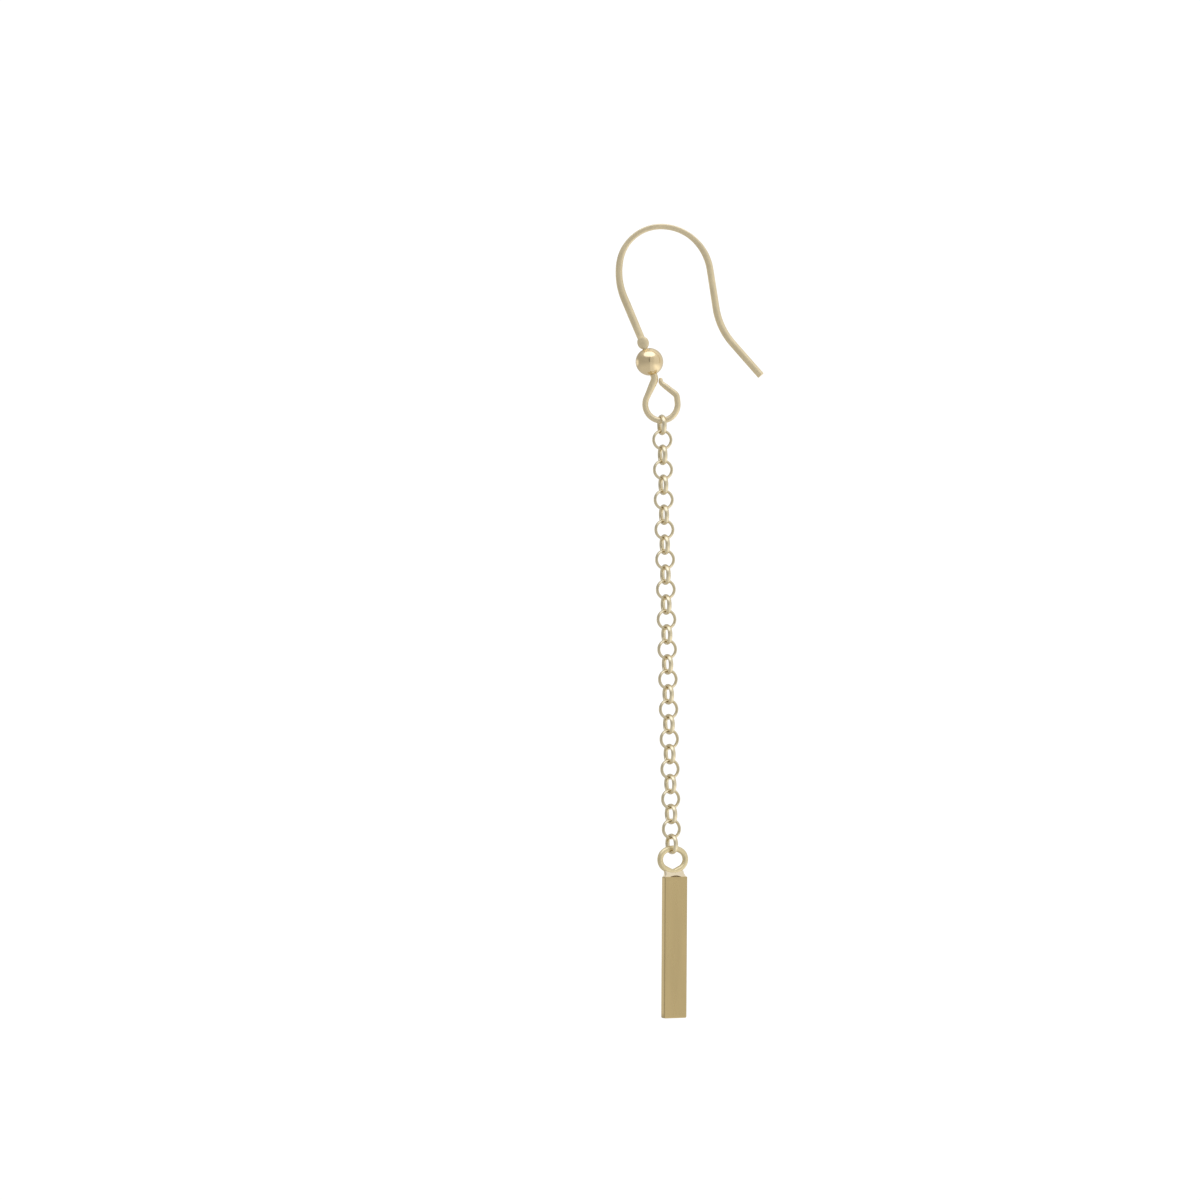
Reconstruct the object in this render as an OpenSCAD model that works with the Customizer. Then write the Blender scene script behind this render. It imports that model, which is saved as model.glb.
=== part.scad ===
// Drop earring: a bent ear wire, a round bead on it, a chain of domed rings and a flat bar.
// Sizes are in millimetres. The origin is the middle of the wire at the top of its arch,
// where the earring hangs. +Z is up, and the ear wire is bent in the X-Z plane.

/* [Ear wire] */
// Diameter of the ear wire
wire_d = 0.74; // [0.6:0.02:0.9]
// Bend radius at the front of the arch, which the other bends of the arch follow
arch_r = 4.17; // [3.8:0.01:4.6]
// Straight length of the front arm, down to the stop
arm_l = 4.87; // [3.6:0.01:6]
// Straight length of the back arm
back_l = 3.9; // [3:0.1:6]
// Straight length of the tail, where a stopper slides on
tail_l = 4.3; // [3:0.1:7]
// Width of the pinched stop above the bead
stop_d = 1.16; // [1:0.02:1.6]
// Thickness of the pinched stop
stop_t = 0.5; // [0.3:0.05:0.6]

/* [Bead] */
// Diameter of the bead
bead_d = 2.78; // [2.2:0.02:3.6]
// Space round the wire in the bead's hole, and above and below the bead
bead_play = 0.03; // [0.02:0.01:0.08]
// Straight wire between the bead and the bend of the loop
neck_l = 0.08; // [0.06:0.02:0.4]

/* [Loop] */
// Diameter of the wire in the loop
loop_wire_d = 0.6; // [0.5:0.02:0.7]
// Bend radius at the bottom of the loop, which the other bends of the loop follow
loop_r = 1.62; // [1.4:0.02:2]
// Diameter of the wire at its last bend, where it is filed thinner
knee_d = 0.5; // [0.46:0.02:0.6]
// Diameter of the wire's end
tip_d = 0.36; // [0.3:0.02:0.4]
// Space between the wire's end and the stem, where the loop closes
tip_gap = 0.02; // [0.01:0.01:0.1]

/* [Chain] */
// Number of links: an odd number, so that the first and the last hang the same way
links = 29; // [15:2:31]
// Outer diameter of a link
link_d = 2.09; // [2:0.01:2.4]
// Width of a link's band
link_w = 0.48; // [0.4:0.02:0.7]
// Thickness of a link's band in its middle
link_t = 0.28; // [0.2:0.01:0.32]
// Thickness of a link's band at its edges
link_edge = 0.04; // [0.03:0.01:0.1]
// Space between pieces that hang in each other
link_play = 0.033; // [0.02:0.001:0.06]
// Turn of the first link about the upright line that the chain hangs along, in degrees
chain_turn = 15; // [0:1:20]
// Turn of the last link and the bar about the same line, in degrees
bar_turn = 27; // [0:1:40]

/* [Bar] */
// Width of the bar
bar_w = 2.54; // [2.2:0.02:4]
// Length of the bar
bar_l = 14.13; // [10:0.1:24]
// Thickness of the bar
bar_t = 0.73; // [0.6:0.01:1.2]
// Radius of the bar's bottom corners
corner_r = 0.16; // [0.05:0.01:0.3]
// Radius of the bar's long edges
edge_r = 0.09; // [0.04:0.01:0.2]
// Lean of the bar to the front of the earring, in degrees
bar_lean = 1.9; // [0:0.1:4]

/* [Bar ring] */
// Width of the oval ring on the bar
ring_w = 3.42; // [2.9:0.02:3.8]
// Height of the oval ring on the bar
ring_h = 2.8; // [2.6:0.02:3.6]
// Diameter of the ring's wire
ring_wire_d = 0.58; // [0.4:0.01:0.6]
// Height of the solder between the ring and the bar
solder_h = 0.53; // [0.45:0.01:0.9]
// Slope of the solder's sides, from the bar's edges inwards
solder_in = 0.13; // [0.05:0.01:0.2]
// Depth of the ring's wire in the solder
ring_sink = 0.22; // [0.1:0.01:0.35]
// Distance of the bar's middle from the ring's middle
ring_offset = 0.23; // [0:0.01:0.4]
// Distance of the ring's middle from the chain's middle
hang_offset = 0.11; // [0:0.01:0.2]

/* [Hidden] */
$fn = 48;
link_names = [for (i = [1:links]) str("link_", i)];

// Columns of the bend tables: a turn to the left in degrees, the bend's radius as a share of
// the table's own radius, with 0 for a sharp kink, and the straight length after the bend
TURN = 0;
BEND = 1;
STRAIGHT = 2;

// Two pieces of wire stop this far short of each other, inside a short sleeve of this much more width
join_gap = 0.04;
join_more = 0.012;

bead_run = stop_d/2 + bead_d + 2*bead_play + neck_l;
neck_drop = 1.08*loop_r;

back_bends = [
    [-39, 1.16, 0],
    [-43.5, 1.23, back_l],
    [32.5, 1.68, tail_l],
];
front_bends = [
    [80, 1, 0],
    [31.5, 1.6, arm_l],
    [-4.5, 0, bead_run],
];
neck_bends = [
    [-42.5, 0.488, neck_drop],
];
loop_bends = [
    [210.5, 1, 0.3*loop_r],
    [46, 0.4, 0],
];
tip_bends = [
    [-50, 0.22, 0.2*loop_r],
];

// Where a path is, as x, z and its heading in degrees from +X, after one row of a bend table
function after(at, row, unit) =
    let (side = sign(row[TURN]), r = side*row[BEND]*unit, heading = at[2] + row[TURN])
    [at[0] + r*(sin(heading) - sin(at[2])) + row[STRAIGHT]*cos(heading),
     at[1] + r*(cos(at[2]) - cos(heading)) + row[STRAIGHT]*sin(heading),
     heading];

// The same after the first n rows of a table, and after all of them
function along(at, rows, unit, n) = n == 0 ? at : after(along(at, rows, unit, n - 1), rows[n - 1], unit);
function whole(at, rows, unit) = along(at, rows, unit, len(rows));

// The path that is left when a step of the last straight is taken back
function back_from(at, step) = [at[0] - step*cos(at[2]), at[1] - step*sin(at[2]), at[2]];

// The middle of the bend with which a row of a table starts
function bend_middle(at, row, unit) =
    let (r = sign(row[TURN])*row[BEND]*unit)
    [at[0] - r*sin(at[2]), at[1] + r*cos(at[2])];

// How far a point goes along a heading until it is a given distance away from a middle
function run_to(at, heading, middle, reach) =
    let (w = [at[0] - middle[0], at[1] - middle[1]], along_w = w*[cos(heading), sin(heading)])
    -along_w - sqrt(along_w*along_w - w*w + reach*reach);

// The back of the wire starts at the top of the arch, and the front starts there the other way
back_start = [0, 0, 0];
arch_top = after(back_start, [180, 0, 0], arch_r);
neck_top = whole(arch_top, front_bends, arch_r);
stop_at = back_from(neck_top, bead_run);
bead_at = back_from(neck_top, neck_l + bead_play + bead_d/2);
loop_top = whole(neck_top, neck_bends, loop_r);

// The loop's last arm runs until the first of its last bend and its end comes up to the stem
arm_top = whole(loop_top, loop_bends, loop_r);
stem_bend = neck_bends[0];
stem_middle = bend_middle(neck_top, stem_bend, loop_r);
stem_side = stem_bend[BEND]*loop_r + wire_d/2 + tip_gap;
knee_bend = [tip_bends[0][TURN], tip_bends[0][BEND], 0];
knee_end = after(arm_top, knee_bend, loop_r);
tip_end = whole(arm_top, tip_bends, loop_r);
knee_run = run_to(knee_end, arm_top[2], stem_middle, stem_side + (knee_d + join_more)/2);
end_run = run_to(tip_end, arm_top[2], stem_middle, stem_side + tip_d/2);
tip_arm = min(knee_run, end_run);
knee_top = back_from(arm_top, -tip_arm);

// The chain hangs from the lowest point of the loop
chain_x = loop_top[0] - loop_r*sin(loop_top[2]);
loop_floor = loop_top[1] + loop_r*cos(loop_top[2]) - loop_r + loop_wire_d/2;

// A link's band is a lens between two arcs, and its hole is narrowest in the middle of the band
link_hole_r = link_d/2 - link_t;
link_dome = (link_t - link_edge)/2;
link_half_w = link_w/2;
link_dome_r = (link_half_w*link_half_w + link_dome*link_dome)/(2*link_dome);

// How far apart two crossed links are held where their bands meet: in the middle, at an edge
// and at a corner, of which the shortest counts
function chord(r) = sqrt(r*r - link_half_w*link_half_w);
edge_reach = link_hole_r + link_dome + chord(link_hole_r);
link_reach = min(2*link_hole_r, edge_reach, 2*chord(link_hole_r + link_dome));
link_pitch = link_reach - link_play;
function link_z(i) = loop_floor + link_play - link_hole_r - (i - 1)*link_pitch;
function link_turn(i) = chain_turn + (bar_turn - chain_turn)*(i - 1)/(links - 1);

// The bar turns about the ring's wire, where that wire lies in the last link
bar_pivot_z = link_z(links) - link_hole_r + link_play + ring_wire_d/2;
ring_mid_z = -(ring_h - ring_wire_d)/2;
bar_top_z = ring_mid_z - ring_h/2 + ring_sink - solder_h;

gold = [0.80, 0.68, 0.43];
pale_gold = [0.88, 0.77, 0.52];

// Moves what points along +X to a point of a path, heading along it
module on_path(at) {
    translate([at[0], 0, at[1]])
        rotate([0, -at[2], 0])
            children();
}

// A straight piece of wire from a point of a path
module straight(at, length, d1, d2) {
    on_path(at)
        translate([join_gap/2, 0, 0])
            rotate([0, 90, 0])
                cylinder(d1 = d1, d2 = d2, h = length - join_gap);
}

// A round bend about the Z axis from the X axis, which leaves out half the gap at each end
module arc(r, turn, d) {
    gap_turn = join_gap/r*180/PI;
    rotate([0, 0, gap_turn/2])
        rotate_extrude(angle = turn - gap_turn)
            translate([r, 0])
                circle(d = d);
}

// A bent piece of wire from a point of a path, by one row of a bend table
module bend(at, row, unit, d) {
    r = row[BEND]*unit;
    on_path(at)
        mirror([0, 0, row[TURN] < 0 ? 1 : 0])
            translate([0, 0, r])
                rotate([90, 0, 0])
                    rotate([0, 0, -90])
                        arc(r, abs(row[TURN]), d);
}

// A short sleeve along the X axis, which joins two pieces of wire
module sleeve(d) {
    rotate([0, 90, 0])
        cylinder(d = d + join_more, h = 2*join_gap, center = true);
}

// The sleeve at a point of a path
module join(at, d) {
    on_path(at)
        sleeve(d);
}

// A wire along a bend table, which may taper to another thickness in its last straight
module wire(at, rows, unit, d, end_d) {
    last = len(rows) - 1;
    for (i = [0:last]) {
        row = rows[i];
        from = along(at, rows, unit, i);
        bent = after(from, [row[TURN], row[BEND], 0], unit);
        if (i > 0)
            join(from, d);
        if (row[BEND] > 0)
            bend(from, row, unit, d);
        if (row[STRAIGHT] > 0)
            straight(bent, row[STRAIGHT], d, i == last ? end_d : d);
        if (row[BEND] > 0 && row[STRAIGHT] > 0)
            join(bent, d);
    }
}

// One bent wire: the tail, the arch, the front arm with its pinched stop, and the loop under the bead
module ear_hook() color(gold) {
    wire(back_start, back_bends, arch_r, wire_d, wire_d);
    wire(arch_top, front_bends, arch_r, wire_d, wire_d);
    on_path(stop_at)
        rotate([90, 0, 0])
            cylinder(d = stop_d, h = stop_t, center = true);
    wire(neck_top, neck_bends, loop_r, wire_d, loop_wire_d);
    wire(loop_top, loop_bends, loop_r, loop_wire_d, loop_wire_d);
    straight(arm_top, tip_arm, loop_wire_d, knee_d);
    wire(knee_top, tip_bends, loop_r, knee_d, tip_d);
    join(arch_top, wire_d);
    join(neck_top, wire_d);
    join(loop_top, loop_wire_d);
    join(arm_top, loop_wire_d);
    join(knee_top, knee_d);
}

// A round bead, drilled for the wire
module bead() color(pale_gold) on_path(bead_at) {
    difference() {
        sphere(d = bead_d);
        rotate([0, 90, 0])
            cylinder(d = wire_d + 2*bead_play, h = bead_d + 1, center = true);
    }
}

// The section of a link's band, between two circles and the band's two edges
module band_section() {
    intersection() {
        translate([link_d/2 - link_dome_r, 0])
            circle(r = link_dome_r);
        translate([link_hole_r + link_dome_r, 0])
            circle(r = link_dome_r);
        translate([link_hole_r, -link_half_w])
            square([link_t, link_w]);
    }
}

// One link. The odd ones hang in the Y-Z plane and the even ones in the X-Z plane, before their turn
module link(i) color(i % 2 == 1 ? gold : pale_gold) {
    translate([chain_x, 0, link_z(i)])
        rotate([0, 0, link_turn(i) + (i % 2 == 1 ? 0 : 90)])
            rotate([0, 90, 0])
                rotate_extrude()
                    band_section();
}

// An upright oval ring of four arcs, round the origin, with its wire's middle on the oval
module oval_ring(w, h, d) {
    long = (max(w, h) - d)/2;
    short = (min(w, h) - d)/2;
    end_r = 0.88*short;
    shift = ((long - end_r)^2 - (short - end_r)^2)/(2*(short - end_r));
    half_turn = atan2(long - end_r, shift);
    rotate([90, h > w ? 90 : 0, 0])
        for (side = [0, 180]) rotate([0, 0, side]) {
            translate([0, -shift])
                rotate([0, 0, 90 - half_turn])
                    arc(short + shift, 2*half_turn, d);
            translate([long - end_r, 0])
                rotate([0, 0, half_turn - 90])
                    arc(end_r, 180 - 2*half_turn, d);
            for (end = [-1, 1])
                translate([long - end_r, 0])
                    rotate([0, 0, end*(90 - half_turn)])
                        translate([end_r, 0])
                            rotate([0, 0, 90])
                                sleeve(d);
        }
}

// The bar's outline from the front, with its top at z = 0
module bar_front() {
    translate([-bar_w/2, corner_r - bar_l])
        square([bar_w, bar_l - corner_r]);
    translate([corner_r - bar_w/2, -bar_l])
        square([bar_w - 2*corner_r, 2*corner_r]);
    for (side = [-1, 1])
        translate([side*(bar_w/2 - corner_r), corner_r - bar_l])
            circle(r = corner_r);
}

// The bar's section, with rounded long edges
module bar_section() {
    square([bar_w - 2*edge_r, bar_t], center = true);
    square([bar_w, bar_t - 2*edge_r], center = true);
    for (x = [-1, 1], y = [-1, 1])
        translate([x*(bar_w/2 - edge_r), y*(bar_t/2 - edge_r)])
            circle(r = edge_r);
}

// Solder that narrows from the bar's end up to the ring, seen from the front or from the side
module solder_outline(w) {
    polygon([[-w/2, -edge_r], [w/2, -edge_r], [w/2, 0], [w/2 - solder_in, solder_h],
        [solder_in - w/2, solder_h], [-w/2, 0]]);
}

// The flat bar with the ring soldered on its top. The ring's wire turns about the X axis here.
module bar_hanging() {
    translate([0, 0, ring_mid_z])
        oval_ring(ring_w, ring_h, ring_wire_d);
    translate([ring_offset, 0, bar_top_z]) {
        intersection() {
            rotate([90, 0, 0])
                linear_extrude(height = bar_t + 1, center = true)
                    bar_front();
            translate([0, 0, -bar_l - 1])
                linear_extrude(height = bar_l + 1)
                    bar_section();
        }
        intersection() {
            rotate([90, 0, 0])
                linear_extrude(height = bar_t + 1, center = true)
                    solder_outline(bar_w - 2*edge_r);
            rotate([90, 0, 90])
                linear_extrude(height = bar_w + 1, center = true)
                    solder_outline(bar_t - 0.02);
        }
    }
}

module bar() color(gold) {
    translate([chain_x, 0, bar_pivot_z])
        rotate([0, 0, bar_turn])
            rotate([0, bar_lean, 0])
                translate([hang_offset, 0, 0])
                    bar_hanging();
}

ear_hook();
bead();
for (i = [1:links])
    link(i);
bar();
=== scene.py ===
# %% [markdown]
# # A gold bar earring in Blender
#
# This lesson dresses one drop earring: a bent ear wire with a round bead on it, a chain of twenty-nine
# rings, and a flat bar with an oval ring on its top. Another tool has already made the solids and their
# motion, so nothing here is moved or fitted. We make smooth metal pieces in the same places and light them.
#
# The frame comes first. Every object is in metres, the origin is where the earring hangs in the ear, +Z is
# up and the camera looks along +Y. The box of the bare solids is kept, to compare the finished pieces with
# it.

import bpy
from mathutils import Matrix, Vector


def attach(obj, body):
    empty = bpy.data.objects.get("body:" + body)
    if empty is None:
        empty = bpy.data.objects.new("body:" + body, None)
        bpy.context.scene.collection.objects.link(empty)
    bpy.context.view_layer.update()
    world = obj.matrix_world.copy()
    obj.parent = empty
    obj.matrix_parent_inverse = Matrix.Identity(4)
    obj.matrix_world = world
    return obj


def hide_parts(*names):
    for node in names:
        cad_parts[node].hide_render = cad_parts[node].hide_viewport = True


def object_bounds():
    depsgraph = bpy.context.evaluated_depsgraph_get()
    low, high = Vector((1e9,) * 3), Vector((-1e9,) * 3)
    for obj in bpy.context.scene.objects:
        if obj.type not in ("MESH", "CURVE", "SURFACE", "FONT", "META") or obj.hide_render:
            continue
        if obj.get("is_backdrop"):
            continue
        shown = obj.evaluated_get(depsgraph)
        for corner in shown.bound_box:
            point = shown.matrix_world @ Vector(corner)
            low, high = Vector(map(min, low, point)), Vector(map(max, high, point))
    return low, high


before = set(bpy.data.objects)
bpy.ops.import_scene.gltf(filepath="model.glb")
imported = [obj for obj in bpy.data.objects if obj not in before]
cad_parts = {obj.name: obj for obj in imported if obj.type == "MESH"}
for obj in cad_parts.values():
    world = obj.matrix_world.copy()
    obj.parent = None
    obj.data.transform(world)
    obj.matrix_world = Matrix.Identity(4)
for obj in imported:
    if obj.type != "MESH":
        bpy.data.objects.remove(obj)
cad_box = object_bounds()
print("solids:", len(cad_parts))

# %% Imports and the unit
from math import asin, atan2, cos, degrees, hypot, pi, radians, sin, sqrt

import bmesh
import bpy
from mathutils import Matrix, Vector

MM = 0.001
print("Blender %s, one unit is %.0f mm" % (bpy.app.version_string, 1 / MM))

# %% [markdown]
# ## The line that the ear wire follows
#
# On the bench an ear wire is one length of round wire, bent over mandrels: a wide arch for the ear, a kink
# where it is pinched, and a small loop for the chain. In Blender we could bend a straight tube with a curve
# object, but a curve's own bevel keeps one round section. So we walk along the bends ourselves, as the wire
# bender does: a turn on a radius, then a straight. Each row is a turn to the left in degrees, the radius in
# millimetres (0 for a sharp kink) and the straight after it.

# %% Sizes of the wire and the bead
ARCH_R = 4.17
LOOP_R = 1.62
WIRE_D = 0.74
LOOP_WIRE_D = 0.6
BEAD_D = 2.78
STOP_D = 1.16
BEAD_PLAY = 0.03
BELOW_BEAD = 0.08
BEAD_RUN = STOP_D / 2 + BEAD_D + 2 * BEAD_PLAY + BELOW_BEAD
print("straight for the stop and the bead: %.2f mm" % BEAD_RUN)


# %% Walk along the bends
def walk(start, bends, step=0.09):
    """Points (x, z, heading in degrees) along the bends, close enough together to look round."""
    x, z, heading = start
    line = [(x, z, heading)]
    for turn, radius, straight in bends:
        if radius > 0:
            side = 1 if turn > 0 else -1
            parts = max(2, int(abs(radians(turn)) * radius / step) + 1)
            middle_x = x - side * radius * sin(radians(heading))
            middle_z = z + side * radius * cos(radians(heading))
            for i in range(1, parts + 1):
                h = heading + turn * i / parts
                across, along = side * radius * sin(radians(h)), side * radius * cos(radians(h))
                line.append((middle_x + across, middle_z - along, h))
            x, z, heading = line[-1]
        else:
            heading += turn
        parts = int(straight / step) + 1 if straight > 0 else 0
        for i in range(1, parts + 1):
            s = straight * i / parts
            line.append((x + s * cos(radians(heading)), z + s * sin(radians(heading)), heading))
        x, z, heading = line[-1][0], line[-1][1], heading
    return line


back = walk((0, 0, 0), [(-39, 1.16 * ARCH_R, 0), (-43.5, 1.23 * ARCH_R, 3.9), (32.5, 1.68 * ARCH_R, 4.3)])
front = walk((0, 0, 180), [(80, ARCH_R, 0), (31.5, 1.6 * ARCH_R, 4.87), (-4.5, 0, BEAD_RUN)])
neck = walk(front[-1], [(-42.5, 0.488 * LOOP_R, 1.08 * LOOP_R)])
loop_bends = [(210.5, LOOP_R, 0.3 * LOOP_R), (46, 0.4 * LOOP_R, 1.566), (-50, 0.22 * LOOP_R, 0.2 * LOOP_R)]
loop = walk(neck[-1], loop_bends, 0.06)
print("tail end", [round(v, 2) for v in back[-1][:2]], "loop top", [round(v, 2) for v in neck[-1][:2]])
print("tip of the loop", [round(v, 2) for v in loop[-1][:2]])

# %% Put the parts of the line together, from the tail to the tip
wire_line = [(x, z, h + 180) for x, z, h in reversed(back)] + front[1:] + neck[1:] + loop[1:]
reach = [0.0]
for one, two in zip(wire_line, wire_line[1:]):
    reach.append(reach[-1] + hypot(two[0] - one[0], two[1] - one[1]))
ARCH_AT = reach[len(back) - 1]
NECK_AT = reach[len(back) + len(front) - 2]
STOP_AT = NECK_AT - BEAD_RUN
LOOP_AT = reach[len(back) + len(front) + len(neck) - 3]
print("wire length %.1f mm, arch top at %.1f mm" % (reach[-1], ARCH_AT))
print("stop at %.1f mm, loop from %.1f mm" % (STOP_AT, LOOP_AT))

# %% [markdown]
# ## The thickness of the wire
#
# Real wire doesn't stay round when it is worked. It is hammered a little flat at the top of the arch, so it
# is thinner seen from the side and wider seen from the front. Above the bead, pliers pinch it into a small
# flat stop that the bead can't pass. The end of the loop is filed thinner. Each row of a short table holds
# a place along the wire, its half widths in the plane of the bends and across it, and how square its
# section is. We blend softly between the rows.

# %% The table of half widths
TIP_AT = reach[-1]
wire_widths = [
    (0.0, 0.36, 0.37, 2.3),
    (6.0, 0.355, 0.38, 2.3),
    (ARCH_AT - 6.5, 0.34, 0.39, 2.8),
    (ARCH_AT - 2.5, 0.262, 0.435, 5.5),
    (ARCH_AT + 2.5, 0.262, 0.435, 5.5),
    (ARCH_AT + 6.5, 0.34, 0.39, 2.8),
    (ARCH_AT + 10.5, 0.385, 0.37, 2.3),
    (STOP_AT - 0.9, 0.37, 0.365, 2.3),
    (STOP_AT + 0.75, 0.24, 0.24, 2.3),
    (NECK_AT - 0.6, 0.25, 0.25, 2.3),
    (NECK_AT - 0.15, 0.36, 0.36, 2.3),
    (NECK_AT + 0.6, 0.37, 0.365, 2.3),
    (LOOP_AT, 0.3, 0.305, 2.3),
    (TIP_AT - 2.2, 0.3, 0.3, 2.3),
    (TIP_AT - 1.2, 0.285, 0.29, 2.3),
    (TIP_AT - 0.5, 0.24, 0.26, 2.3),
    (TIP_AT, 0.175, 0.18, 2.3),
]
print("rows in the table:", len(wire_widths))

# %% Half widths at any place
STOP_HALF_LENGTH, STOP_HALF_WIDE = 0.66, 0.25


def ease(t):
    """0 before 0, 1 after 1, and a soft S-shaped step between them."""
    t = min(max(t, 0.0), 1.0)
    return t * t * (3 - 2 * t)


def half_widths(s):
    """Half widths in and across the plane of the bends, and the squareness, s mm from the tail's end."""
    for low, high in zip(wire_widths, wire_widths[1:]):
        if s <= high[0]:
            t = ease((s - low[0]) / (high[0] - low[0]))
            flat, wide, square = (a + t * (b - a) for a, b in zip(low[1:], high[1:]))
            break
    else:
        flat, wide, square = wire_widths[-1][1:]
    from_stop = abs(s - STOP_AT) / STOP_HALF_LENGTH
    if from_stop < 1:
        pinch = sqrt(1 - from_stop**2)
        flat = max(flat, STOP_D / 2 * pinch)
        wide = wide + (STOP_HALF_WIDE - wide) * ease(1.25 * pinch)
    return flat, wide, square


print("at the arch %.2f x %.2f, squareness %.1f" % half_widths(ARCH_AT))

# %% [markdown]
# ## Sweep the wire
#
# A sweep sets a ring of points at each place of the line and joins neighbouring rings with faces. The rings
# are slightly squared ellipses, which is what a flattened wire looks like. The tail is cut off square with
# a filed edge, and the tip of the loop is rounded, so a few smaller rings close both ends.


# %% A mesh from points
def metal_mesh(name, points, faces, sharp=60):
    """A smooth mesh object from points in millimetres. Edges sharper than so many degrees stay crisp."""
    mesh = bpy.data.meshes.new(name)
    mesh.from_pydata([(x * MM, y * MM, z * MM) for x, y, z in points], [], faces)
    mesh.validate()
    shaper = bmesh.new()
    shaper.from_mesh(mesh)
    bmesh.ops.recalc_face_normals(shaper, faces=shaper.faces)
    for edge in shaper.edges:
        edge.smooth = len(edge.link_faces) == 2 and edge.calc_face_angle(0) < radians(sharp)
    for face in shaper.faces:
        face.smooth = True
    shaper.to_mesh(mesh)
    shaper.free()
    piece = bpy.data.objects.new(name, mesh)
    bpy.context.scene.collection.objects.link(piece)
    return piece


# %% Rings of points and a sweep through them
SIDES = 32


def ring_of(x, z, heading, flat, wide, squareness):
    """A ring of points round one place of a line in the X-Z plane."""
    ring = []
    for i in range(SIDES):
        t = 2 * pi * i / SIDES
        c, s = cos(t), sin(t)
        out = flat * abs(c) ** (2 / squareness) * (1 if c >= 0 else -1)
        across = wide * abs(s) ** (2 / squareness) * (1 if s >= 0 else -1)
        ring.append((x - out * sin(radians(heading)), across, z + out * cos(radians(heading))))
    return ring


def sweep(name, rings):
    """One closed mesh from rings of points, with its first and last ring closed by a face."""
    points = [p for ring in rings for p in ring]
    sides = len(rings[0])
    faces = [tuple(range(sides)), tuple(range(len(points) - 1, len(points) - sides - 1, -1))]
    for r in range(len(rings) - 1):
        for i in range(sides):
            a, b = r * sides + i, r * sides + (i + 1) % sides
            faces.append((a, b, b + sides, a + sides))
    return metal_mesh(name, points, faces)


print("points in one ring:", len(ring_of(0, 0, 0, 0.3, 0.3, 2.3)))


# %% The ear wire
def wire_ring(index, back_by=0.0, share=1.0):
    """The ring at one point of the wire, moved along it and made smaller for the ends."""
    x, z, h = wire_line[index]
    flat, wide, square = half_widths(reach[index])
    x, z = x + back_by * cos(radians(h)), z + back_by * sin(radians(h))
    return ring_of(x, z, h, flat * share, wide * share, square)


rings = [wire_ring(0, 0.0, 0.84), wire_ring(0, 0.015, 0.93), wire_ring(0, 0.05, 1.0)]
rings += [wire_ring(i) for i in range(1, len(wire_line) - 2)]
tip_index = len(wire_line) - 1
tip_rounding = [(-0.10, 0.97), (-0.05, 0.85), (-0.02, 0.66), (0.0, 0.3)]
rings += [wire_ring(tip_index, back_by, share) for back_by, share in tip_rounding]
ear_wire = sweep("ear_wire", rings)
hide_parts("ear_hook")
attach(ear_wire, "upper")
print("ear wire:", len(ear_wire.data.polygons), "faces")

# %% [markdown]
# ## The bead
#
# The bead is a round ball with a drilled hole, threaded on the wire under the pinched stop. A sphere from
# the menu has poles that pinch the highlight and no hole, so the bead is turned on a lathe instead: its
# section is one curve from the hole, over a softly rounded rim, round the ball and back.


# %% A lathe
def lathe(name, section, turns=96):
    """A closed ring of section points (radius, height) turned round the Z axis."""
    points, faces = [], []
    count = len(section)
    for k in range(turns):
        a = 2 * pi * k / turns
        points += [(r * cos(a), r * sin(a), h) for r, h in section]
    for k in range(turns):
        for i in range(count):
            j, m = (i + 1) % count, ((k + 1) % turns) * count
            faces.append((k * count + i, m + i, m + j, k * count + j))
    return metal_mesh(name, points, faces)


# %% Turn the bead
HOLE_R = WIRE_D / 2 + BEAD_PLAY
RIM, RIM_DROP = 0.07, 0.012
ball_r = BEAD_D / 2
rim_angle = asin((HOLE_R + RIM) / ball_r)
bead_section = []
for i in range(57):
    a = -pi / 2 + rim_angle + (pi - 2 * rim_angle) * i / 56
    bead_section.append((ball_r * cos(a), ball_r * sin(a)))
rim_top = ball_r * cos(rim_angle)
for t in (0.35, 0.7, 1.0):
    a = t * pi / 2
    bead_section.append((HOLE_R + RIM * (1 - sin(a)), rim_top - RIM_DROP - RIM * (1 - cos(a))))
for i in range(1, 6):
    bead_section.append((HOLE_R, (rim_top - RIM - RIM_DROP) * (1 - 2 * i / 6)))
for t in (1.0, 0.7, 0.35):
    a = t * pi / 2
    bead_section.append((HOLE_R + RIM * (1 - sin(a)), -rim_top + RIM_DROP + RIM * (1 - cos(a))))
bead = lathe("bead_ball", bead_section)
print("bead:", len(bead.data.polygons), "faces")

# %% Thread it on the wire
neck_x, neck_z, neck_heading = front[-1]
to_bead = BELOW_BEAD + BEAD_PLAY + BEAD_D / 2
bead_x = neck_x - to_bead * cos(radians(neck_heading))
bead_z = neck_z - to_bead * sin(radians(neck_heading))
tilt = Matrix.Rotation(radians(90 - neck_heading), 4, "Y")
bead.matrix_world = Matrix.Translation((bead_x * MM, 0, bead_z * MM)) @ tilt
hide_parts("bead")
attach(bead, "upper")
print("bead middle %.2f, %.2f mm" % (bead_x, bead_z))

# %% [markdown]
# ## The chain
#
# The chain is of round rings of domed wire, thickest in the middle and thin at the edges. A torus from the
# menu has a plain round section, so the ring is turned on the lathe as well. All rings are alike, so one
# mesh is used twenty-nine times. Each ring hangs in the one above, a quarter turn from it. The chain turns
# a little further with each ring, so the holes of the rings that are seen from their edge open on the way
# down.

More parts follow.
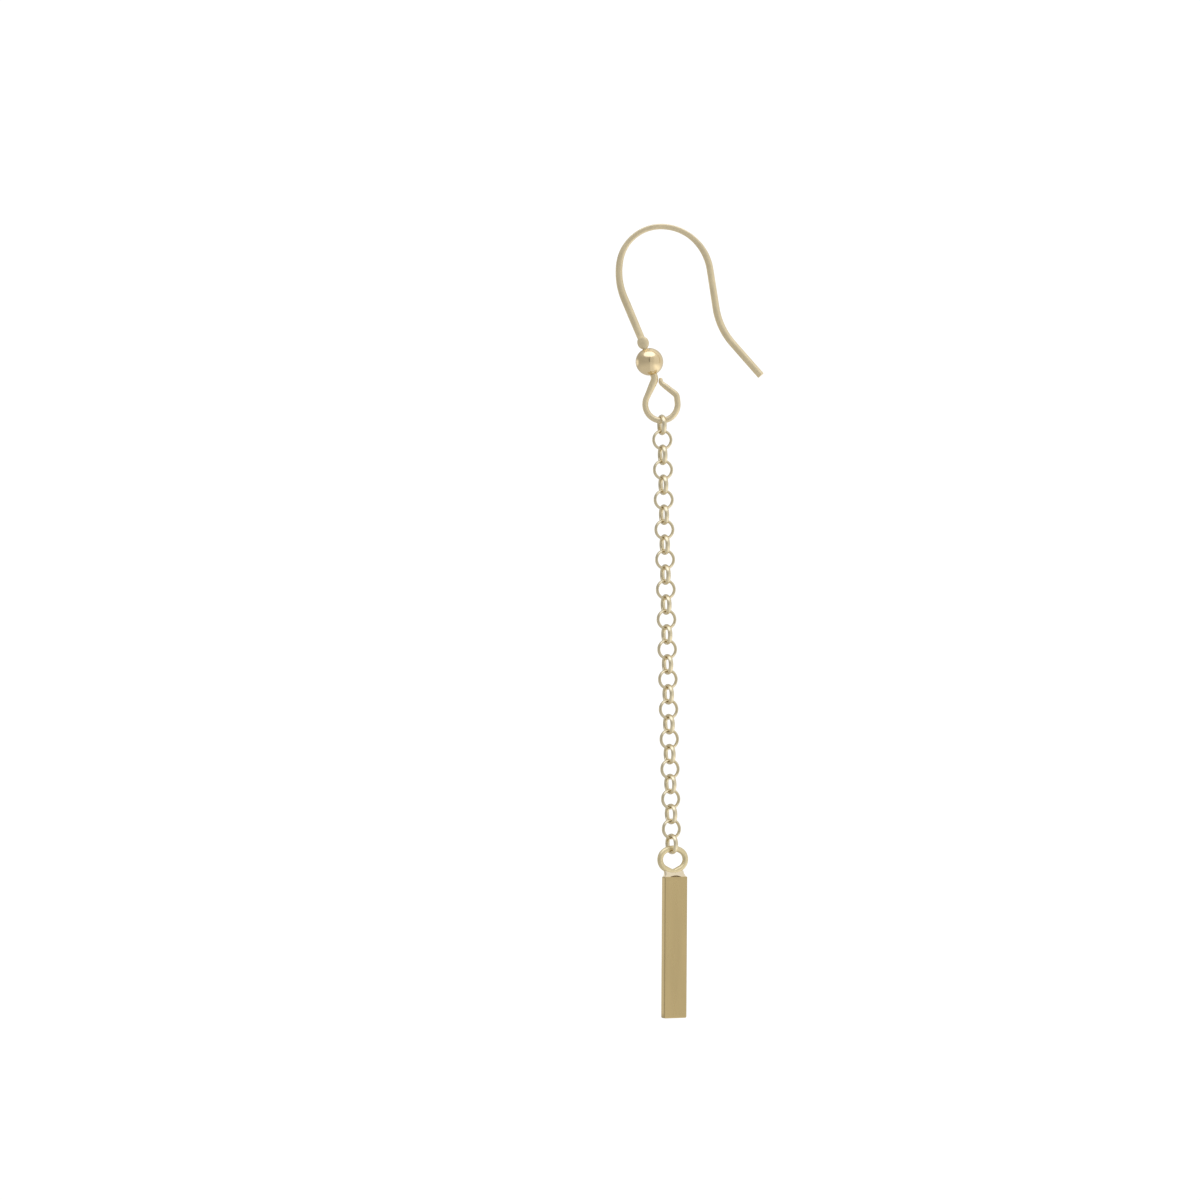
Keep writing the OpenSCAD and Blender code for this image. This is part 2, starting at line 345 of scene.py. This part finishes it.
# %% The section of one ring's band
LINKS = 29
LINK_D = 2.09
LINK_W = 0.48
LINK_T = 0.28
LINK_EDGE = 0.04
FIRST_TURN, BAR_TURN = 15, 27
link_hole_r = LINK_D / 2 - LINK_T
dome = (LINK_T - LINK_EDGE) / 2
half_w = LINK_W / 2
dome_r = (half_w**2 + dome**2) / (2 * dome)
RIM_GAP = 0.006
link_section = []
for i in range(17):
    h = -half_w + RIM_GAP + (LINK_W - 2 * RIM_GAP) * i / 16
    link_section.append((LINK_D / 2 - dome_r + sqrt(dome_r**2 - h**2), h))
edge_in, edge_out = link_hole_r + dome + 0.008, link_hole_r + dome + 0.022
link_section += [(edge_out, half_w), (edge_in, half_w)]
for i in range(17):
    h = half_w - RIM_GAP - (LINK_W - 2 * RIM_GAP) * i / 16
    link_section.append((link_hole_r + dome_r - sqrt(dome_r**2 - h**2), h))
link_section += [(edge_in, -half_w), (edge_out, -half_w)]
print("points in the section:", len(link_section))

# %% Hang the rings in each other
chain_x = neck[-1][0] - LOOP_R * sin(radians(neck[-1][2]))
loop_floor = neck[-1][1] + LOOP_R * cos(radians(neck[-1][2])) - LOOP_R + LOOP_WIRE_D / 2
PLAY = 0.033
across = sqrt(link_hole_r**2 - half_w**2)
across_dome = sqrt((link_hole_r + dome) ** 2 - half_w**2)
pitch = min(2 * link_hole_r, link_hole_r + dome + across, 2 * across_dome) - PLAY


def link_height(number):
    """How high the middle of a ring is, in millimetres; number 1 is the top ring."""
    return loop_floor + PLAY - link_hole_r - (number - 1) * pitch


first_link = lathe("chain_link_1", link_section, 72)
chain = [first_link]
for number in range(2, LINKS + 1):
    ring = bpy.data.objects.new("chain_link_%d" % number, first_link.data)
    bpy.context.scene.collection.objects.link(ring)
    chain.append(ring)
for number, ring in enumerate(chain, 1):
    turn = FIRST_TURN + (BAR_TURN - FIRST_TURN) * (number - 1) / (LINKS - 1)
    turn += 0 if number % 2 else 90
    place = Matrix.Translation((chain_x * MM, 0, link_height(number) * MM))
    upright = Matrix.Rotation(radians(90), 4, "Y")
    ring.matrix_world = place @ Matrix.Rotation(radians(turn), 4, "Z") @ upright
    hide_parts("link_%d" % number)
    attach(ring, "upper")
print("pitch %.3f mm, last ring at %.2f mm" % (pitch, link_height(LINKS)))

# %% [markdown]
# ## The bar
#
# The bar is cut from flat stock, and a file takes the sharpness off its edges, so light runs along them as
# a thin line. A cube with a bevel would give one even radius everywhere. Here the bar is a stack of rounded
# rectangles: the bottom corners have their own radius, and near both ends the stack draws in a little.

# %% Places of the bar
BAR_W, BAR_L, BAR_T = 2.54, 14.13, 0.73
CORNER_R, EDGE_R = 0.16, 0.09
RING_W, RING_H, RING_WIRE_D = 3.42, 2.8, 0.58
SOLDER_H, RING_SINK = 0.53, 0.22
RING_OFFSET = 0.23
HANG_OFFSET = 0.11
BAR_LEAN = 1.9
pivot_z = link_height(LINKS) - link_hole_r + PLAY + RING_WIRE_D / 2
ring_mid_z = -(RING_H - RING_WIRE_D) / 2
bar_top_z = ring_mid_z - RING_H / 2 + RING_SINK - SOLDER_H
hang = (
    Matrix.Translation((chain_x * MM, 0, pivot_z * MM))
    @ Matrix.Rotation(radians(BAR_TURN), 4, "Z")
    @ Matrix.Rotation(radians(BAR_LEAN), 4, "Y")
    @ Matrix.Translation((HANG_OFFSET * MM, 0, 0))
)
print("the bar turns about z = %.2f mm, its top is %.2f mm under that" % (pivot_z, -bar_top_z))


# %% The bar
def rounded_rectangle(w, t, r, z, x=0.0, steps=6):
    """A ring of points: a rectangle w by t with its corners rounded, at the height z."""
    ring = []
    for cx, cy, start in ((1, 1, 0), (-1, 1, 90), (-1, -1, 180), (1, -1, 270)):
        for i in range(steps + 1):
            a = radians(start + 90 * i / steps)
            ring.append((x + cx * (w / 2 - r) + r * cos(a), cy * (t / 2 - r) + r * sin(a), z))
    return ring


END_ROUND = 0.07
levels = [(0.0, 0.05), (0.02, 0.02), (0.05, 0.0)]
levels += [(s, 0.0) for s in (0.3, 2, 4, 6, 8, 10, 12, 13.6)]
stack = []
for s, cut in levels:
    w, t = BAR_W - 2 * cut, BAR_T - 2 * cut
    stack.append(rounded_rectangle(w, t, EDGE_R, bar_top_z - s, RING_OFFSET))
for i in range(1, 9):
    a = radians(90 * i / 8)
    s = BAR_L - CORNER_R + CORNER_R * sin(a)
    cut = CORNER_R * (1 - cos(a))
    soft = max(0.0, s - BAR_L + END_ROUND)
    thin = END_ROUND - sqrt(max(0.0, END_ROUND**2 - soft**2))
    r = max(0.02, EDGE_R - 0.5 * thin)
    stack.append(rounded_rectangle(BAR_W - 2 * cut, BAR_T - 2 * thin, r, bar_top_z - s, RING_OFFSET))
gold_bar = sweep("gold_bar", stack)
gold_bar.matrix_world = hang
print("bar:", len(gold_bar.data.polygons), "faces")

# %% [markdown]
# ## The bar's ring
#
# A jeweller bends a short wire into an oval and closes it where it meets the bar, under the solder, so the
# opening comes to a slight point there. A torus scaled to an oval would have thicker wire at its sides than
# at its top. So the oval is four arcs, two flat and two tight. We sweep a round section along them and thin
# the wire on its inner side where its ends meet.


# %% Places on an oval
def oval_point(turn):
    """A place on the oval's middle line and its outward direction, in degrees from its right side."""
    long, short = (RING_W - RING_WIRE_D) / 2, (RING_H - RING_WIRE_D) / 2
    end_r = 0.88 * short
    shift = ((long - end_r) ** 2 - (short - end_r) ** 2) / (2 * (short - end_r))
    half_turn = degrees(atan2(long - end_r, shift))
    d = turn % 360
    quarter, side = (d, 1) if d <= 180 else (360 - d, -1)
    mirror = 1
    if quarter > 90:
        quarter, mirror = 180 - quarter, -1
    if quarter < 90 - half_turn:
        x, z = long - end_r + end_r * cos(radians(quarter)), end_r * sin(radians(quarter))
    else:
        x, z = (short + shift) * cos(radians(quarter)), -shift + (short + shift) * sin(radians(quarter))
    out = Vector((mirror * cos(radians(quarter)), side * sin(radians(quarter))))
    return Vector((mirror * x, side * z)), out


print("right side of the oval at %.2f, %.2f mm" % tuple(oval_point(0)[0]))


# %% The oval ring
def closed_sweep(name, rings):
    """A ring-shaped mesh: the last ring of points joins the first."""
    sides, count = len(rings[0]), len(rings)
    points = [p for ring in rings for p in ring]
    faces = []
    for r in range(count):
        for i in range(sides):
            a, b = r * sides + i, r * sides + (i + 1) % sides
            c, d = ((r + 1) % count) * sides + (i + 1) % sides, ((r + 1) % count) * sides + i
            faces.append((a, b, c, d))
    return metal_mesh(name, points, faces)


SEAM_AT, SEAM_HALF, SEAM_THINNING = 270, 24, 0.5
thick = RING_WIRE_D / 2
ring_rings = []
for k in range(120):
    middle, out = oval_point(3 * k)
    from_seam = abs((3 * k - SEAM_AT + 180) % 360 - 180)
    seam = max(0.0, 1 - from_seam / SEAM_HALF)
    ring = []
    for i in range(24):
        a = 2 * pi * i / 24
        r = thick * (1 - SEAM_THINNING * seam**1.6 * max(0.0, -cos(a)))
        x, z = middle.x + out.x * r * cos(a), ring_mid_z + middle.y + out.y * r * cos(a)
        ring.append((x, r * sin(a), z))
    ring_rings.append(ring)
oval_ring = closed_sweep("bar_ring", ring_rings)
oval_ring.matrix_world = hang
wide, high = oval_point(0)[0].x * 2 + RING_WIRE_D, oval_point(90)[0].y * 2 + RING_WIRE_D
print("oval ring %.2f by %.2f mm" % (wide, high))

# %% [markdown]
# ## The solder
#
# Molten solder creeps up the ring by itself and stops in a hollow curve, wide on the bar and narrow under
# the ring. It is a soft shape between two hard ones. We stack rounded rectangles once more, and draw them
# in from the bar's edges as they rise, fast at first and then slower, which gives the hollow curve.

# %% The solder collar
COLLAR_FOOT_W, COLLAR_NARROWING = BAR_W - 0.12, 0.26
COLLAR_FOOT_T, COLLAR_THINNING = BAR_T - 0.06, BAR_T - RING_WIRE_D + 0.10
COLLAR_SUNK, COLLAR_H = 0.04, SOLDER_H + 0.10
collar = []
for k in range(13):
    t = k / 12
    z = bar_top_z - COLLAR_SUNK + COLLAR_H * t
    w = COLLAR_FOOT_W - COLLAR_NARROWING * (1 - (1 - t) ** 2.2)
    depth = COLLAR_FOOT_T - COLLAR_THINNING * (1 - (1 - t) ** 1.8)
    corner = min(0.45 * depth, 0.16 + 0.08 * t)
    collar.append(rounded_rectangle(w, depth, corner, z, RING_OFFSET * (1 - 0.6 * t)))
solder_collar = sweep("solder_collar", collar)
solder_collar.matrix_world = hang
print("solder:", len(solder_collar.data.polygons), "faces")

# %% [markdown]
# Where the solder meets the bar it leaves a shallow hollow, which catches no light and shows as a thin dark
# arch. A hollow that small is lost in a stack of rounded rectangles, so a thin wedge lies in it, and its
# dark colour is painted shade: the shade of the hollow, painted on.

# %% Painted shade in the hollow at the foot of the solder
HOLLOW_X, HOLLOW_HALF_W, HOLLOW_H = RING_OFFSET - 0.05, 0.60, 0.13
HOLLOW_FRONT, HOLLOW_BACK, HOLLOW_SLANT = -0.366, -0.22, 0.09
COLUMNS = 16
hollow_points, hollow_faces = [], []
for i in range(COLUMNS + 1):
    u = -0.98 + 1.96 * i / COLUMNS
    x, arch = HOLLOW_X + HOLLOW_HALF_W * u, 1 - u * u
    low, high = bar_top_z - 0.02 + 0.03 * arch, bar_top_z + HOLLOW_H * arch
    slant = HOLLOW_FRONT + HOLLOW_SLANT * arch
    for y, z in ((HOLLOW_FRONT, low), (slant, high), (HOLLOW_BACK, high), (HOLLOW_BACK, low)):
        hollow_points.append((x, y, z))
for i in range(COLUMNS):
    for j in range(4):
        a, b = 4 * i + j, 4 * i + (j + 1) % 4
        hollow_faces.append((a, b, b + 4, a + 4))
hollow_faces += [(0, 1, 2, 3), tuple(4 * COLUMNS + j for j in (3, 2, 1, 0))]
solder_painted_shade = metal_mesh("solder_painted_shade", hollow_points, hollow_faces)
solder_painted_shade.matrix_world = hang
for piece in (gold_bar, oval_ring, solder_collar, solder_painted_shade):
    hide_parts("bar")
    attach(piece, "drop")
print("hollow %.1f mm wide" % (2 * HOLLOW_HALF_W))

# %% [markdown]
# ## The gold
#
# Gold gets its whole look from what it reflects, so the material is a metal with a pale yellow base; only
# the bar's base is darker, which is painted shade. Its roughness is lowest on the bead, which is polished
# like a mirror, and much higher on the drawn wire. A perfectly even metal would look like plastic, so a
# noise pattern makes the polish uneven, a finer one gives tiny bumps, and a third shifts the colour a
# little. The patterns sit in the object's own coordinates, in metres, so they are equally fine on every
# piece.

# %% How to make a polished gold
BUMP_HEIGHT = 0.05 * MM


def polished_gold(name, colour, roughness, bump=0.02, grain=2500.0, lines=None):
    """A procedural polished gold: uneven polish, tiny bumps and a little colour change."""
    material = bpy.data.materials.new(name)
    material.use_nodes = True
    nodes, links = material.node_tree.nodes, material.node_tree.links
    shader = nodes["Principled BSDF"]
    shader.inputs["Metallic"].default_value = 1.0
    where = nodes.new("ShaderNodeTexCoord")
    stretch = nodes.new("ShaderNodeMapping")
    stretch.inputs["Scale"].default_value = lines or (1, 1, 1)
    links.new(where.outputs["Object"], stretch.inputs["Vector"])

    def noise(scale, detail):
        made = nodes.new("ShaderNodeTexNoise")
        made.inputs["Scale"].default_value = scale
        made.inputs["Detail"].default_value = detail
        links.new(stretch.outputs["Vector"], made.inputs["Vector"])
        return made

    tint = nodes.new("ShaderNodeValToRGB")
    tint.color_ramp.elements[0].position, tint.color_ramp.elements[1].position = 0.3, 0.7
    tint.color_ramp.elements[0].color = (*[c * 0.93 for c in colour], 1)
    tint.color_ramp.elements[1].color = (*[min(1, c * 1.05) for c in colour], 1)
    links.new(noise(grain * 0.25, 2).outputs["Fac"], tint.inputs["Fac"])
    links.new(tint.outputs["Color"], shader.inputs["Base Color"])

    polish = nodes.new("ShaderNodeMapRange")
    polish.inputs["To Min"].default_value = roughness * 0.8
    polish.inputs["To Max"].default_value = roughness * 1.25
    links.new(noise(grain * 0.6, 3).outputs["Fac"], polish.inputs["Value"])
    links.new(polish.outputs["Result"], shader.inputs["Roughness"])

    bumps = nodes.new("ShaderNodeBump")
    bumps.inputs["Strength"].default_value = bump
    bumps.inputs["Distance"].default_value = BUMP_HEIGHT
    links.new(noise(grain, 4).outputs["Fac"], bumps.inputs["Height"])
    links.new(bumps.outputs["Normal"], shader.inputs["Normal"])
    return material


# %% A gold for each kind of piece
wire_gold = polished_gold("drawn_wire", (0.86, 0.735, 0.485), 0.46)
bead_gold = polished_gold("mirror_bead", (0.85, 0.69, 0.425), 0.17, bump=0.01)
chain_gold = polished_gold("tumbled_chain", (0.80, 0.70, 0.475), 0.32)
# The bar's base is far darker than the other golds: painted shade for the dim reflections on its broad flat
# faces. The brushing lines are its real finish.
bar_gold_painted_shade = polished_gold("brushed_bar_painted_shade", (0.58, 0.45, 0.225), 0.28, lines=(1, 1, 0.15))
ring_gold = polished_gold("ring_wire", (0.80, 0.69, 0.425), 0.45)
solder_gold = polished_gold("pale_solder", (0.96, 0.83, 0.60), 0.3, bump=0.06)
# painted shade: the dark colour of the wedge in the hollow under the solder
painted_shade_gold = polished_gold("painted_shade_solder", (0.26, 0.19, 0.10), 0.5)
for piece, gold in (
    (ear_wire, wire_gold),
    (bead, bead_gold),
    (first_link, chain_gold),
    (gold_bar, bar_gold_painted_shade),
    (oval_ring, ring_gold),
    (solder_collar, solder_gold),
    (solder_painted_shade, painted_shade_gold),
):
    piece.data.materials.append(gold)
print("materials:", [m.name for m in bpy.data.materials])

# %% [markdown]
# ## What the metal sees
#
# A photographer of jewellery hangs the piece in a round tent of white paper. Gold is a mirror, so the light
# on the tent is the picture that the gold shows: bright paper behind and to the right, dimmer paper to the
# left, a bright strip far left that lights the bar's side, and a darker slit that the lens looks through.
# One function turns a direction, seen from the earring, into that brightness, and the paper and the world
# both use it.


# %% Brightness by direction
def tent_light(tree, direction):
    """Nodes that turn a direction into how bright the tent is there."""
    nodes, links = tree.nodes, tree.links
    unit = nodes.new("ShaderNodeVectorMath")
    unit.operation = "NORMALIZE"
    links.new(direction, unit.inputs[0])
    split = nodes.new("ShaderNodeSeparateXYZ")
    links.new(unit.outputs["Vector"], split.inputs["Vector"])

    def step(axis, low, high, start, end):
        made = nodes.new("ShaderNodeMapRange")
        made.interpolation_type = "SMOOTHSTEP"
        made.inputs["From Min"].default_value, made.inputs["From Max"].default_value = low, high
        made.inputs["To Min"].default_value, made.inputs["To Max"].default_value = start, end
        links.new(split.outputs[axis], made.inputs["Value"])
        return made.outputs["Result"]

    def math(operation, one, two):
        made = nodes.new("ShaderNodeMath")
        made.operation = operation
        for socket, value in zip(made.inputs, (one, two)):
            if isinstance(value, float):
                socket.default_value = value
            else:
                links.new(value, socket)
        return made.outputs[0]

    sides = math("ADD", step("X", 0.02, 0.14, 0.47, 0.66), step("X", 0.4, 0.75, 0.0, 0.14))
    sides = math("ADD", sides, step("Z", -0.75, 0.05, 0.15, 0.0))
    low_right = math("MULTIPLY", step("X", 0.3, 0.8, 0.0, 0.32), step("Z", -0.6, -0.2, 1.0, 0.0))
    sides = math("ADD", sides, low_right)
    far_left = math("MULTIPLY", step("X", -0.7, -0.45, 1.0, 0.0), step("Y", 0.1, 0.4, 0.0, 0.5))
    level = math("MULTIPLY", step("Z", -0.25, -0.1, 0.0, 1.0), step("Z", 0.1, 0.25, 1.0, 0.0))
    sides = math("ADD", sides, math("MULTIPLY", far_left, level))
    above = math("ADD", sides, step("Z", 0.5, 0.9, 0.0, 0.25))
    slit = math("MULTIPLY", step("X", -0.10, -0.03, 0.0, 1.0), step("X", 0.05, 0.12, 1.0, 0.0))
    slit_height = math("MULTIPLY", step("Z", -0.14, 0.02, 0.0, 1.0), step("Z", 0.45, 0.6, 1.0, 0.0))
    slit = math("MULTIPLY", slit, slit_height)
    slit = math("MULTIPLY", slit, step("Y", -0.3, -0.1, 1.0, 0.0))
    front = math("MULTIPLY", above, math("SUBTRACT", 1.0, math("MULTIPLY", slit, 0.6)))
    return math("MAXIMUM", front, step("Y", 0.93, 0.97, 0.0, 1.08))


# %% [markdown]
# ## The tent
#
# The floor of the tent is a round sheet of pale paper, which curves up into its wall all the way round, so
# no corner shows from any side. Turning one profile makes it. The paper's own glow carries the brightness,
# with a faint mottling of its fibres.

# %% The round paper floor and wall
FLOOR_Z, FLOOR_R, CURVE_R, WALL_TOP_Z = -450, 1200, 500, 1000
WALL_R, WALL_Z = FLOOR_R + CURVE_R, FLOOR_Z + CURVE_R
tent_profile = [(1, FLOOR_Z), (FLOOR_R / 2, FLOOR_Z), (FLOOR_R, FLOOR_Z)]
for degree in range(10, 90, 10):
    a = radians(degree)
    tent_profile.append((FLOOR_R + CURVE_R * sin(a), WALL_Z - CURVE_R * cos(a)))
tent_profile += [(WALL_R, WALL_Z), (WALL_R, WALL_TOP_Z / 2), (WALL_R, WALL_TOP_Z)]
TENT_TURNS = 64
tent_points, tent_faces = [], []
for k in range(TENT_TURNS):
    a = 2 * pi * k / TENT_TURNS
    tent_points += [(r * cos(a), r * sin(a), h) for r, h in tent_profile]
for k in range(TENT_TURNS):
    for i in range(len(tent_profile) - 1):
        here, there = k * len(tent_profile) + i, ((k + 1) % TENT_TURNS) * len(tent_profile) + i
        tent_faces.append((here, there, there + 1, here + 1))
paper_tent = metal_mesh("paper_tent", tent_points, tent_faces)
paper_tent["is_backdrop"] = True
print("tent:", len(paper_tent.data.polygons), "faces")

# %% The glow of the paper
paper = bpy.data.materials.new("white_paper")
paper.use_nodes = True
tree = paper.node_tree
tree.nodes.remove(tree.nodes["Principled BSDF"])
glow = tree.nodes.new("ShaderNodeEmission")
place = tree.nodes.new("ShaderNodeTexCoord")
fibres = tree.nodes.new("ShaderNodeTexNoise")
fibres.inputs["Scale"].default_value = 30
tree.links.new(place.outputs["Object"], fibres.inputs["Vector"])
paper_tone = tree.nodes.new("ShaderNodeValToRGB")
paper_tone.color_ramp.elements[0].color = (0.985, 0.985, 0.985, 1)
paper_tone.color_ramp.elements[1].color = (1, 1, 1, 1)
tree.links.new(fibres.outputs["Fac"], paper_tone.inputs["Fac"])
tree.links.new(paper_tone.outputs["Color"], glow.inputs["Color"])
tree.links.new(tent_light(tree, place.outputs["Object"]), glow.inputs["Strength"])
tree.links.new(glow.outputs["Emission"], tree.nodes["Material Output"].inputs["Surface"])
paper.cycles.emission_sampling = "NONE"
paper_tent.data.materials.append(paper)
print("nodes of the paper:", len(tree.nodes))

# %% The world above the tent
world = bpy.data.worlds.new("studio")
bpy.context.scene.world = world
world.use_nodes = True
where = world.node_tree.nodes.new("ShaderNodeTexCoord")
background = world.node_tree.nodes["Background"]
background.inputs["Color"].default_value = (1, 1, 1, 1)
strength = tent_light(world.node_tree, where.outputs["Generated"])
world.node_tree.links.new(strength, background.inputs["Strength"])
print("nodes of the world:", len(world.node_tree.nodes))

# %% [markdown]
# ## The lamp
#
# One large oval lamp hangs over the piece. Its front edge is the sharp line under the bright cap on the
# bead. An area lamp has exactly that crisp edge, which a glow in the world hasn't.

# %% The soft lamp above
MIDDLE = Vector((0, 0, -0.037))


def soft_lamp(name, place, wide, deep, brightness, colour):
    """An oval lamp, wide by deep metres, aimed at the middle of the earring, as bright as that to see."""
    light = bpy.data.lights.new(name, "AREA")
    light.shape = "ELLIPSE"
    light.size, light.size_y = wide, deep
    light.color = colour
    light.energy = brightness * pi * pi * wide * deep / 4
    lamp = bpy.data.objects.new(name, light)
    lamp.location = place
    lamp.rotation_euler = (MIDDLE - Vector(place)).to_track_quat("-Z", "Y").to_euler()
    bpy.context.scene.collection.objects.link(lamp)


soft_lamp("lamp_above", (0, -0.126, 0.31), 0.54, 0.38, 1.08, (0.72, 0.78, 0.98))

# %% [markdown]
# ## The camera
#
# The photo was taken straight from the front with a long lens, turned by a degree or so. A tenth of a
# millimetre of the earring fills one pixel of a frame of 1200, so the frame is 120 mm wide at the earring.
# The view transform stays Standard, so that white paper comes out white.

# %% Set the camera
TILT = radians(1.337)
LENS, SENSOR, FRAME_WIDE = 135.0, 36.0, 0.120
camera_data = bpy.data.cameras.new("camera")
camera_data.lens, camera_data.sensor_width = LENS, SENSOR
camera = bpy.data.objects.new("camera", camera_data)
distance = FRAME_WIDE * LENS / SENSOR
aim = Vector((-6.87 * MM, 0, -37.19 * MM))
right, up_way = Vector((cos(TILT), 0, -sin(TILT))), Vector((sin(TILT), 0, cos(TILT)))
facing = Matrix((right, up_way, Vector((0, -1, 0)))).transposed().to_4x4()
camera.matrix_world = Matrix.Translation(aim - Vector((0, distance, 0))) @ facing
bpy.context.scene.collection.objects.link(camera)
bpy.context.scene.camera = camera
bpy.context.scene.view_settings.view_transform = "Standard"
print("camera %.0f mm from the earring" % (distance * 1000))

# %% [markdown]
# ## Compare the boxes and finish
#
# The finished pieces should fill the same box as the solids, give or take a few hundredths of a millimetre.
# Only the top of the arch is a tenth of a millimetre lower, because the wire is flattened there.

# %% Finish
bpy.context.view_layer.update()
for name, box in (("solids", cad_box), ("pieces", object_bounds())):
    print(name, [round(v * 1000, 2) for corner in box for v in corner])
